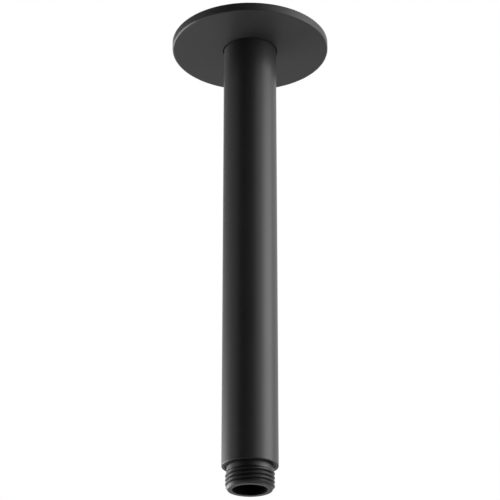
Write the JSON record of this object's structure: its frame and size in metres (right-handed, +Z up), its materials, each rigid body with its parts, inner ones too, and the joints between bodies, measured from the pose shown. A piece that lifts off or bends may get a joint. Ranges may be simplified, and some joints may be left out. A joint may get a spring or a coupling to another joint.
{
  "type": "ceiling shower arm",
  "caption": "Straight round ceiling shower arm, hanging down, with a threaded nipple at each end and a flat round cover flange that slides on the tube.",
  "frame": {"origin": "on the arm's axis, in the plane of the ceiling, which is the flange's flat back", "axes": "+Z up along the arm's axis, from the outlet to the inlet; X and Y are alike, because the arm is round"},
  "size_m": [0.072, 0.072, 0.2304],
  "materials": {
    "black_coating": "satin black",
    "seal_rubber": "matte black"
  },
  "bodies": {
    "arm": {"arm_tube": "black_coating", "inlet_nipple": "black_coating", "outlet_nipple": "black_coating"},
    "seal": {"flange_o_ring": "seal_rubber"},
    "flange": {"ceiling_flange": "black_coating"}
  },
  "joints": [
    {"name": "flange_slide", "type": "slide", "parent": "arm", "child": "seal", "axis": [0, 0, -1], "range_m": [0, 0.2]},
    {"name": "flange_turn", "type": "hinge", "parent": "seal", "child": "flange", "pos_m": [0, 0, -0.00208], "axis": [0, 0, 1], "continuous": true}
  ]
}
